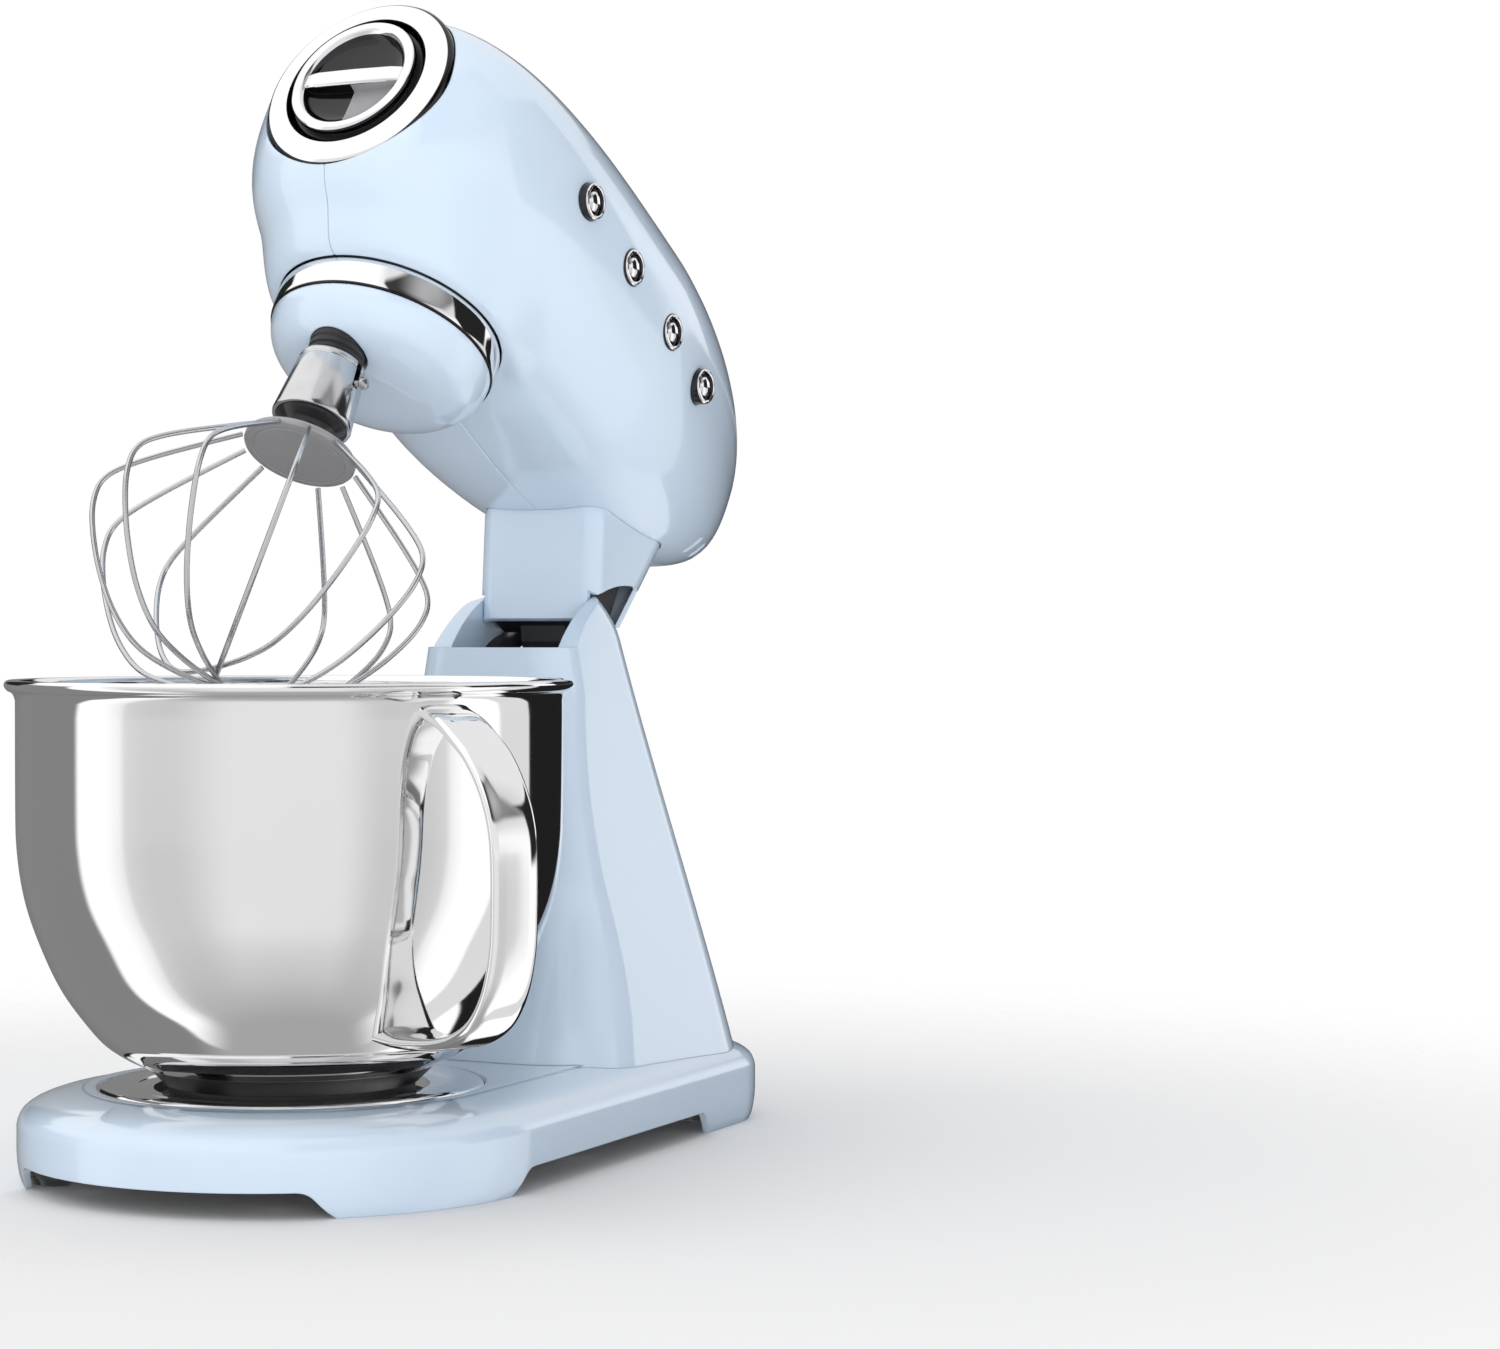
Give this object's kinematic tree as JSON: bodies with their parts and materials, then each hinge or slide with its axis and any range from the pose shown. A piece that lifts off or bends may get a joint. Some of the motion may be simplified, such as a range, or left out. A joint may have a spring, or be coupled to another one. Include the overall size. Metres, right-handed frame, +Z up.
{
  "type": "stand mixer",
  "caption": "Retro tilt-head stand mixer with steel bowl and handle, planetary wire whisk, pedestal base, chrome front attachment hub and internal belt drive.",
  "frame": {"origin": "on the table plane under the bowl axis", "axes": "+Z up, -Y toward the front of the mixer, +X the side the bowl handle is on"},
  "size_m": [0.2643, 0.4571, 0.4883],
  "materials": {
    "pastel_paint": "gloss",
    "steel_polished": "polished",
    "chrome_trim": "mirror",
    "black_plastic": "satin",
    "rubber_black": "matte",
    "grey_metal": "satin",
    "cast_alloy": "as cast",
    "bronze_bush": "turned",
    "board_green": "satin",
    "iron_laminations": "painted",
    "gear_steel": "machined",
    "belt_rubber": "matte"
  },
  "bodies": {
    "base": {"base_shell": "pastel_paint", "pedestal_shell": "pastel_paint", "base_cover": "black_plastic", "base_cover_screws": "gear_steel", "rubber_feet": "rubber_black", "bowl_seat_ring": "chrome_trim", "twist_lock_plate": "black_plastic", "control_board": "board_green", "power_inlet": "black_plastic", "pivot_cover": "black_plastic", "hinge_pin": "gear_steel", "hinge_bushes": "bronze_bush", "release_spring": "gear_steel"},
    "release_button": {"release_button": "black_plastic"},
    "head": {"hinge_arm": "black_plastic", "head_frame": "cast_alloy", "neck_cover": "pastel_paint", "head_shell_left": "pastel_paint", "head_shell_right": "pastel_paint", "head_screws": "gear_steel", "front_ring": "chrome_trim", "hub_socket": "black_plastic", "trim_studs_left": "chrome_trim", "trim_studs_right": "chrome_trim", "rear_vent_grille": "black_plastic", "gearbox_housing": "cast_alloy", "motor_stator": "iron_laminations", "drive_belt": "belt_rubber", "shaft_bearings": "gear_steel", "ring_gear": "gear_steel", "chrome_band": "chrome_trim"},
    "hub_cap": {"hub_cap": "chrome_trim"},
    "hub_drive": {"hub_drive_shaft": "gear_steel"},
    "speed_lever": {"speed_lever": "chrome_trim"},
    "motor": {"motor_rotor": "gear_steel", "cooling_fan": "black_plastic", "motor_pulley": "grey_metal"},
    "planetary": {"planetary_shaft": "gear_steel", "drive_pulley": "grey_metal", "planet_carrier": "cast_alloy", "planetary_cap": "pastel_paint", "tool_bush": "black_plastic"},
    "tool": {"planet_pinion": "gear_steel", "tool_shaft": "gear_steel", "tool_cross_pin": "gear_steel"},
    "whisk": {"whisk_collar": "steel_polished", "whisk_plate": "grey_metal", "whisk_wires": "steel_polished"},
    "bowl": {"bowl": "steel_polished", "bowl_foot": "black_plastic", "bowl_handle": "steel_polished"}
  },
  "joints": [
    {"name": "head_tilt", "type": "hinge", "parent": "base", "child": "head", "pos_m": [0, 0.218, 0.1744], "axis": [-1, 0, 0], "range_deg": [-32.3, 0]},
    {"name": "release_press", "type": "slide", "parent": "base", "child": "release_button", "axis": [0, -1, 0], "range_m": [0, 0.004], "stiffness_N_per_m": 600},
    {"name": "hub_cap_pull", "type": "slide", "parent": "head", "child": "hub_cap", "axis": [0, -0.8453, 0.5344], "range_m": [0, 0.05]},
    {"name": "hub_drive_spin", "type": "hinge", "parent": "head", "child": "hub_drive", "pos_m": [0, 0.02615, 0.46604], "axis": [0, -0.8453, 0.5344], "continuous": true},
    {"name": "speed_slide", "type": "slide", "parent": "head", "child": "speed_lever", "axis": [0, 0.8453, -0.5344], "range_m": [0, 0.024]},
    {"name": "planetary_spin", "type": "hinge", "parent": "head", "child": "planetary", "pos_m": [0, 0.06451, 0.33958], "axis": [0, 0.5344, 0.8453], "continuous": true},
    {"name": "motor_spin", "type": "hinge", "parent": "head", "child": "motor", "pos_m": [0, 0.20904, 0.32866], "axis": [0, 0.5344, 0.8453], "continuous": true},
    {"name": "tool_spin", "type": "hinge", "parent": "planetary", "child": "tool", "pos_m": [0, 0.04254, 0.35347], "axis": [0, 0.5344, 0.8453], "continuous": true},
    {"name": "whisk_pull", "type": "slide", "parent": "tool", "child": "whisk", "axis": [0, -0.5344, -0.8453], "range_m": [0, 0.03]},
    {"name": "bowl_twist", "type": "hinge", "parent": "base", "child": "bowl", "pos_m": [0, 0, 0.038], "axis": [0, 0, 1], "range_deg": [0, 28]}
  ],
  "couplings": [
    {"joint": "tool_spin", "follows": "planetary_spin", "ratio": -4.3333},
    {"joint": "motor_spin", "follows": "planetary_spin", "ratio": 3.7778},
    {"joint": "hub_drive_spin", "follows": "planetary_spin", "ratio": 1}
  ]
}
